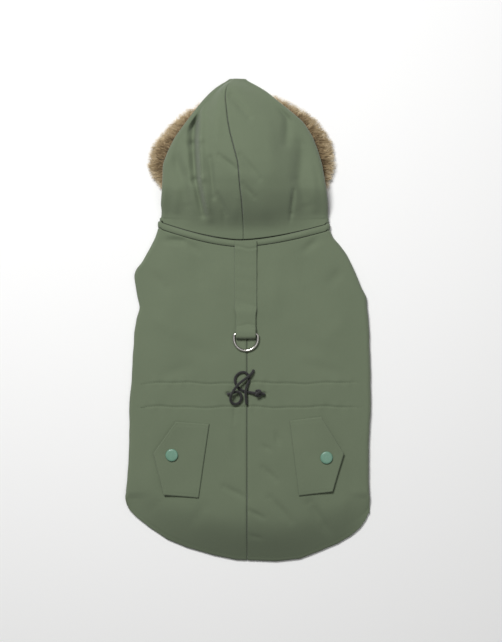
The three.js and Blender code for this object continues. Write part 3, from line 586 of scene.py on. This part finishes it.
def tubePiece(name, path, radius, sides=16, closed=False, ribs=0.0):
    count = len(path)
    if closed:
        heading = np.roll(path, -1, axis=0) - np.roll(path, 1, axis=0)
    else:
        heading = np.gradient(path, axis=0)
    heading /= np.linalg.norm(heading, axis=1, keepdims=True)
    across = np.cross(heading[0], [0.0, 0.0, 1.0])
    if np.linalg.norm(across) < 0.1:
        across = np.array([0.0, 1.0, 0.0])
    points, uvs, far = [], [], 0.0
    for i in range(count):
        across = across - heading[i] * np.dot(across, heading[i])
        across /= np.linalg.norm(across)
        up = np.cross(heading[i], across)
        far += np.linalg.norm(path[i] - path[i - 1]) if i else 0.0
        for k in range(sides):
            around = 2 * math.pi * k / sides
            r = radius * (1 + ribs * math.sin(far * 2.6 + 2 * around) * math.sin(far * 2.6 - 2 * around))
            points.append(path[i] + r * (math.cos(around) * across + math.sin(around) * up))
            uvs.append((far / 3.0, 2.0 * abs(k / sides - 0.5)))
    faces = []
    for i in range(count if closed else count - 1):
        for k in range(sides):
            a, b = i * sides + k, i * sides + (k + 1) % sides
            c, d = ((i + 1) % count) * sides + (k + 1) % sides, ((i + 1) % count) * sides + k
            faces.append((a, d, c, b))
    if not closed:
        faces.append(tuple(range(sides)))
        faces.append(tuple(reversed(range((count - 1) * sides, count * sides))))
    return newPiece(name, points, faces, uvs)


def makeCords():
    for side, route in cordRoutes.items():
        points = [np.array([x, y, cordInfo["base"] + up * cordInfo["layer"]]) for x, y, up in route]
        path = smoothPath(points)
        piece = tubePiece(
            "drawcord" + side.capitalize(), path, cordInfo["radius"], cordInfo["sides"],
            ribs=cordInfo["ribs"])
        settle(piece, "cord_" + side, braid)
        onIt = [makeKnot()] if side == "right" else []


def makeKnot():  # an overhand knot beside the right eyelet
    centre = np.array([knotInfo["x"], knotInfo["y"], coat["crown"] + knotInfo["rise"]])
    turns = np.linspace(0, 2 * math.pi, 60, endpoint=False)
    loop = np.stack([centre[0] + 1.9 * np.sin(2 * turns), centre[1] + 2.15 * np.cos(turns) * 1.15,
                     centre[2] + 2.1 * np.sin(turns)], axis=1)
    knot = tubePiece(
        "stopperKnot", loop, knotInfo["wire"], knotInfo["sides"], closed=True, ribs=cordInfo["ribs"])
    return settle(knot, "cord_knot", braid)


makeCords()
print("camera and cords made")

# The cloth
# lap is the reach past the middle; lapFrom and liftFrom are where it starts; scoop is the throat's
belly = {
    "lift": {"left": 0.0, "right": 2.7}, "lap": -14, "lapFrom": 26, "liftFrom": 30, "scoop": 26, "thick": 2.1}


def bellyGrid(side):
    sign = -1 if side == "left" else 1
    lift = belly["lift"][side]
    rows = []
    for y in np.concatenate([np.arange(58, 0, -2.0), np.linspace(0, -162, 60)]):
        outline = abs(float(smoothColumn(bodyOutline, y, sideKey[side])))
        inset = float(column(armhole, y, 1)) if y > 0 else 4.3 + float(column(backTurn, y, 2))
        outerX = outline - inset
        d = np.concatenate([
            np.linspace(outerX, belly["lapFrom"], 24)[:-1], np.linspace(belly["lapFrom"], belly["lap"], 22)])
        z = lift * ease((belly["liftFrom"] - d) / 12) + coat["cloth"]
        dip = belly["scoop"] * ease((y - 20) / 38) * ease(1 - d / outerX)
        rows.append(np.stack([sign * d, y - dip, z], axis=1))
    return np.array(rows)


band = {"edge": 8.2, "radius": 4.0, "under": 42, "thick": 1.6}


def bandGrid():
    rows = []
    for share in np.linspace(0, 1, 15):
        drop = neck["bandWidth"] * share
        bulge = 1.7 * math.sin(math.pi * share) ** 0.6 - 1.0
        halves = []
        for side in ("left", "right"):
            fold = neckFoldX(side)
            edge = band["edge"] + 0.5 * bulge
            top = coat["crown"] + coat["gap"] + bulge
            halves.append(halfSection({
                "side": side, "middle": coat["middle"],
                "width": abs(fold - coat["middle"]) - 0.1 + 0.4 * bulge,
                "radius": band["radius"], "edge": edge, "turn": 180.0, "under": band["under"],
                "shares": np.linspace(0, 1, 70),
                "topAt": lambda x, y, s: mix(top, edge, ease((s - 0.7) / 0.3)),
                "yTop": lambda x, side=side: neckline(x, side) - drop,
                "ySide": float(neckline(fold, side)) - drop,
                "yUnder": lambda x, side=side: throatLine(x, side) - drop}))
        rows.append(np.concatenate([halves[0][::-1], halves[1][1:]]))
    return np.array(rows)


def addSheet(name, node, material, grid, thick, flip):
    piece, area = shellPiece(name, grid, thick, flip)
    settle(piece, node, material)
    size = [float(np.linalg.norm(np.diff(grid, axis=a), axis=2).sum(axis=a).max()) for a in (1, 0)]
    print(name, "rows", round(size[0], 1), "columns", round(size[1], 1), "mm, area", round(area, 5))
    return piece


for side in ("left", "right"):
    addSheet("back" + side.capitalize(), "back_" + side, cotton, backGrid(side), coat["cloth"],
             side == "right")
    addSheet("belly" + side.capitalize(), "belly_" + side, bellyCotton, bellyGrid(side),
             belly["thick"], side == "left")
    addSheet("hood" + side.capitalize(), "hood_" + side, cotton, hoodGrid(side), coat["cloth"],
             side == "left")
print("back, belly and hood made")

bandPiece, bandArea = shellPiece("neckBand", bandGrid(), band["thick"], flip=True)
settle(bandPiece, "neck_band", cotton)
print("neck band made", round(bandArea, 5))


# Lead strap
ringInfo = {"x": -2.4, "barY": -13, "barZ": 12.8, "wire": 1.4, "half": 11.95, "corner": 2.2, "depth": 16.6,
            "tilt": 5, "sides": 18}
strap = {"left": -13.7, "right": 8.8, "loopLeft": -12.4, "loopRight": 7.6, "thick": 1.4, "shell": 1.2}
# y, depth
strapCreases = [(73.5, 0.55), (55, 0.3), (41, 0.45), (29, 0.35), (-4.8, 0.7)]


def strapGrid():
    barZ = ringInfo["barZ"]
    inside = ringInfo["wire"] + coat["gap"]
    path = [
        (80, 10.7), (73.3, 10.7), (67.3, 10.0), (45, 9.75), (16, 9.75), (9, 11.4), (-4, 11.7),
        (-10, barZ + inside - 0.3),
        (-13, barZ + inside), (-15.4, barZ + inside * 0.8), (-16.4, barZ), (-15.4, barZ - inside * 0.8),
        (-13, barZ - inside), (-4, barZ - inside), (6, 11.1)]
    line = smoothPath([np.array([0.0, y, z]) for y, z in path], 10)
    heading = np.gradient(line, axis=0)
    heading /= np.linalg.norm(heading, axis=1, keepdims=True)
    normal = np.stack([0 * heading[:, 0], heading[:, 2], -heading[:, 1]], axis=1)
    rows = []
    for i, point in enumerate(line):
        narrow = ease((14 - point[1]) / 10)
        across = np.linspace(0, 1, 25)
        left = mix(strap["left"], strap["loopLeft"], narrow)
        x = mix(left, mix(strap["right"], strap["loopRight"], narrow), across)
        side = np.minimum(across, 1 - across) * 22
        swell = strap["thick"] - 0.5 * np.exp(-(side / 0.7) ** 2) - 0.3 * np.exp(-((side - 2.4) / 0.5) ** 2)
        if i < len(line) * 0.5:
            y = point[1]
            for at, deep in strapCreases:
                swell = swell - deep * np.exp(-((y - at - 1.2 * np.sin(x / 4.0 + at)) / 1.5) ** 2)
            swell = swell - 0.4 * np.exp(-((y - 16.5 + 0.3 * x) / 1.6) ** 2) * (y > 0)
        flat = np.stack([x, np.full(25, point[1]), np.full(25, point[2])], axis=1)
        rows.append(flat + normal[i] * swell[:, None])
    return np.array(rows)


addSheet("leadStrap", "lead_strap", cotton, strapGrid(), strap["shell"], True)


# Pocket flaps
# corners from the sewn edge outwards, and the snap's middle
flapCorners = {
    "left": [(-39, -103), (-49.7, -177), (-84.3, -174), (-95, -132.3), (-72.2, -100.5), (-76.4, -134)],
    "right": [(41.3, -99.5), (50.8, -175), (84.3, -170.5), (95.8, -132.5), (72.8, -95.5), (78.2, -136.5)]}
flap = {"tip": 0.42, "foot": 0.35, "lift": 2.1, "thick": 1.5, "snapShare": 0.72}


def flapPoint(side, along, across):
    innerTop, innerLow, outerLow, tip, outerTop = [np.array(p) for p in flapCorners[side][:5]]
    inner = mix(innerTop, innerLow, along)
    outer = mix(tip, outerLow, (along - flap["tip"]) / (1 - flap["tip"]))
    if along < flap["tip"]:
        outer = mix(outerTop, tip, along / flap["tip"])
    return mix(inner, outer, across)


def flapGrid(side):
    rows = []
    for along in np.linspace(0, 1, 60):
        across = np.linspace(0, 1, 44)
        spots = np.array([flapPoint(side, along, a) for a in across])
        z = backTop(spots[:, 0], spots[:, 1]) + flap["foot"] + flap["thick"] + 0.05
        z = z + flap["lift"] * across ** 2
        edge = np.minimum(np.minimum(across * 44, (1 - across) * 44), min(along, 1 - along) * 74)
        z = z - 0.5 * np.exp(-(edge / 0.8) ** 2) - 0.32 * np.exp(-((edge - 2.6) / 0.5) ** 2)
        z = z + 0.35 * np.sin(spots[:, 0] / 9 + spots[:, 1] / 13) * across
        rows.append(np.concatenate([spots, z[:, None]], axis=1))
    return np.array(rows)


def revolve(name, profile, centre, steps=48):
    points, faces = [], []
    for k in range(steps):
        around = 2 * math.pi * k / steps
        for r, z in profile:
            points.append([centre[0] + r * math.cos(around), centre[1] + r * math.sin(around), centre[2] + z])
    rows = len(profile)
    for k in range(steps):
        for i in range(rows - 1):
            a, b = k * rows + i, ((k + 1) % steps) * rows + i
            faces.append((a, b, b + 1, a + 1))
    return newPiece(name, points, faces)


# radius, height
snapProfile = [
    (0.01, 0), (5.5, 0), (6.25, 0.5), (6.3, 1.2), (5.9, 1.75), (5.2, 2.05), (4.2, 2.12), (2.5, 2.16),
    (0.01, 2.2)]
eyeletProfile = [
    (2.5, -1.6), (2.9, -1.6), (2.9, 0.0), (4.2, 0.1), (4.2, 0.4), (3.9, 0.85), (3.35, 1.1),
    (2.8, 0.95), (2.5, 0.5), (2.5, -1.6)]
for side in ("left", "right"):
    addSheet("flap" + side.capitalize(), "flap_" + side, cotton, flapGrid(side), flap["thick"],
             side == "right")
    snapX, snapY = flapCorners[side][5]
    foot = float(backTop(np.float64(snapX), np.float64(snapY))) + flap["foot"] + flap["thick"] + 0.1
    foot += flap["lift"] * flap["snapShare"] ** 2
    cap = revolve("snap" + side.capitalize(), snapProfile, (snapX, snapY, foot))
    settle(cap, "snap_" + side, enamel)
    eyeletZ = float(backTop(np.float64(eyelets[side]), np.float64(eyelets["y"])))
    eyelet = revolve("eyelet" + side.capitalize(), eyeletProfile, (eyelets[side], eyelets["y"], eyeletZ))
    settle(eyelet, "eyelet_" + side, nickel)
print("strap, flaps, snaps and eyelets made")


# The D-ring, on its own body
def makeRing():
    half = ringInfo["half"]
    corner = ringInfo["corner"]
    depth = ringInfo["depth"]
    line = [(half - corner + corner * math.cos(t), -corner + corner * math.sin(t))
            for t in np.linspace(math.pi / 2, 0, 8)]
    line += [(half * math.cos(t), -(depth - half) + half * math.sin(t)) for t in np.linspace(0, -math.pi, 48)]
    line += [(-(half - corner) + corner * math.cos(t), -corner + corner * math.sin(t))
             for t in np.linspace(math.pi, math.pi / 2, 8)]
    line += [(x, 0.0) for x in np.linspace(-(half - corner), half - corner, 14)[1:-1]]
    tilt = math.radians(ringInfo["tilt"])
    path = np.array([
        [ringInfo["x"] + x, ringInfo["barY"] + y * math.cos(tilt), ringInfo["barZ"] + y * math.sin(tilt)]
        for x, y in line])
    ring = tubePiece("dRing", path, ringInfo["wire"], ringInfo["sides"], closed=True)
    return settle(ring, "d_ring", nickel, "ring")


makeRing()

# Fur round the face opening
fur = {
    "x": -6, "y": 158, "left": 93, "right": 91.5, "up": 70, "down": 58, "leftBow": 1.7, "pastEdge": 3.0,
    "peltIn": 15, "peltWide": 7, "peltMid": 5.2, "peltHigh": 3.6, "stations": 120, "sides": 12,
    "clumps": 520, "hairs": 14500, "steps": 5, "hairHalf": 0.26}
rng = np.random.default_rng(7)


def furPlace(angle, inward):
    across, upward = np.cos(angle), np.sin(angle)
    bow = np.where(across < 0, 2 / fur["leftBow"], 1.0)
    spanX = np.sign(across) * np.abs(across) ** bow
    spanY = np.sign(upward) * np.abs(upward) ** bow
    reachX = np.where(across < 0, fur["left"], fur["right"])
    reachY = np.where(upward < 0, fur["down"], fur["up"])
    return fur["x"] + (reachX - inward) * spanX, fur["y"] + (reachY - inward) * spanY


def furCore():
    stations = fur["stations"]
    sides = fur["sides"]
    rings = []
    for angle in np.linspace(0, 2 * math.pi, stations, endpoint=False):
        for k in range(sides):
            around = 2 * math.pi * k / sides
            x, y = furPlace(angle, fur["peltIn"] + fur["peltWide"] * math.cos(around))
            rings.append([float(x), float(y), fur["peltMid"] + fur["peltHigh"] * math.sin(around)])
    faces = []
    for i in range(stations):
        after = (i + 1) % stations
        for k in range(sides):
            beside = (k + 1) % sides
            faces.append((i * sides + k, i * sides + beside, after * sides + beside, after * sides + k))
    return newPiece("furPelt", rings, faces)


def furHairs():
    count = fur["hairs"]
    steps = fur["steps"]
    clumps = fur["clumps"]
    clumpAngle = rng.uniform(0, 2 * math.pi, clumps)
    clumpLean = rng.normal(0, 0.16, clumps)
    clumpLong = rng.uniform(0.82, 1.08, clumps)
    which = rng.integers(0, clumps, count)
    angle = clumpAngle[which] + rng.normal(0, 0.022, count)
    root = rng.uniform(9, 23, count)
    lean = clumpLean[which] + rng.normal(0, 0.05, count)
    long = rng.uniform(0.7, 1.0, count) * clumpLong[which]
    height = rng.uniform(0.15, 1.0, count)
    points, tips = [], []
    for s in np.linspace(0, 1, steps + 1):
        inward = root - (root + fur["pastEdge"]) * s * long
        bend = angle + lean * s ** 1.5 * 0.55 + (clumpAngle[which] - angle) * 0.6 * s
        x, y = furPlace(bend, inward)
        z = 3.2 + 6.2 * height * (0.55 + 0.5 * np.sin(math.pi * (0.25 + 0.75 * s))) * (1 - 0.25 * s)
        points.append(np.stack([x, y, np.clip(z, 0.5, 11.6)], axis=1))
        tips.append(np.clip(0.12 + 0.8 * s + rng.normal(0, 0.03, count), 0, 1))
    points = np.array(points)
    heading = np.gradient(points, axis=0)
    side = np.cross(heading, [0.0, 0.0, 1.0])
    side /= np.maximum(np.linalg.norm(side, axis=2, keepdims=True), 1e-9)
    twist = rng.uniform(-0.8, 0.8, count)
    side = side * np.cos(twist)[None, :, None] + np.array([0.0, 0.0, 1.0]) * np.sin(twist)[None, :, None]
    wide = fur["hairHalf"] * (1 - np.linspace(0, 1, steps + 1) ** 2 * 0.85)
    one = points - side * wide[:, None, None]
    two = points + side * wide[:, None, None]
    verts = np.stack([one, two], axis=2).transpose(1, 0, 2, 3).reshape(-1, 3)
    each = 2 * (steps + 1)
    base = np.arange(count)[:, None, None] * each
    step = np.arange(steps)[None, :, None] * 2
    faces = (base + step + np.array([0, 1, 3, 2])[None, None, :]).reshape(-1, 4)
    tipValues = np.repeat(np.array(tips).T.reshape(-1), 2)
    piece = newPiece("furHairs", verts, [tuple(f) for f in faces.tolist()])
    layer = piece.data.attributes.new("tip", "FLOAT", "POINT")
    layer.data.foreach_set("value", tipValues.astype(np.float32))
    return piece


settle(furCore(), "fur_trim", furHair)
settle(furHairs(), "fur_trim", furHair)
print("ring and fur made")


# Stitches
thread = {"pitch": 2.6, "radius": 0.24, "lift": 0.15}


def stitches(name, paths):
    pitch = thread["pitch"]
    radius = thread["radius"]
    points, faces = [], []
    for path in paths:
        path = np.asarray(path)
        gone = np.concatenate([[0], np.cumsum(np.linalg.norm(np.diff(path, axis=0), axis=1))])
        for start in np.arange(0.3, gone[-1] - pitch, pitch):
            ends = [np.array([np.interp(start + pitch * part, gone, path[:, k]) for k in range(3)])
                    for part in (0, 0.34, 0.68)]
            heading = ends[2] - ends[0]
            size = np.linalg.norm(heading)
            if size < 1e-6:
                continue
            heading /= size
            across = np.cross(heading, [0.0, 0.0, 1.0])
            across /= max(np.linalg.norm(across), 1e-6)
            up = np.cross(across, heading)
            base = len(points)
            for end, thin, lift in zip(ends, (0.35, 1.0, 0.35), (-0.12, 0.12, -0.12)):
                for k in range(6):
                    around = 2 * math.pi * k / 6
                    outward = math.cos(around) * across + math.sin(around) * up
                    points.append(end + up * lift + radius * thin * outward)
            for i in range(2):
                for k in range(6):
                    a, b = base + i * 6 + k, base + i * 6 + (k + 1) % 6
                    faces.append((a, a + 6, b + 6, b))
            faces.append(tuple(base + k for k in range(6)))
            faces.append(tuple(base + 12 + k for k in reversed(range(6))))
    piece = newPiece(name, points, faces)
    return settle(piece, None, cottonThread)


def onBack(xs, ys):
    return np.stack([xs, ys, backTop(xs, ys) + thread["lift"]], axis=1)


waistX = np.linspace(waist["from"], waist["to"], 400)
waistPaths = [onBack(waistX, waistLine(waistX, waist[line])) for line in ("top", "bottom")]
hemX = np.linspace(-116, 116, 420)
hemPath = [onBack(hemX, column(hemLine, hemX, 1) + hem["stitchAt"])]
stitches("waistStitches", waistPaths)
stitches("hemStitches", hemPath)
print("stitches made")

# Floor and light
floorMesh = bpy.data.meshes.new("floor")
reach = 1.5
floorMesh.from_pydata(
    [(-reach, -reach, 0), (reach, -reach, 0), (reach, reach, 0), (-reach, reach, 0)], [], [(0, 1, 2, 3)])
floor = bpy.data.objects.new("floor", floorMesh)
bpy.context.scene.collection.objects.link(floor)
floorMesh.materials.append(Paint("paleFloor").finish((0.93, 0.93, 0.925), 0.8))


def addLight(name, size, power, spot, aim=(0, 0, 0)):
    data = bpy.data.lights.new(name, "AREA")
    data.shape = "DISK"
    data.size = size
    data.energy = power
    lamp = bpy.data.objects.new(name, data)
    bpy.context.scene.collection.objects.link(lamp)
    lamp.location = spot
    lamp.rotation_euler = (Vector(spot) - Vector(aim)).to_track_quat("Z", "Y").to_euler()


addLight("keyLight", 0.6, 26, (-0.4, 0.8, 1.45))
addLight("fillLight", 1.4, 4.5, (0.6, -0.3, 1.9))
world = bpy.data.worlds.new("studio")
world.use_nodes = True
background = world.node_tree.nodes["Background"]
background.inputs[0].default_value = (1, 1, 1, 1)
background.inputs[1].default_value = 0.16
bpy.context.scene.world = world
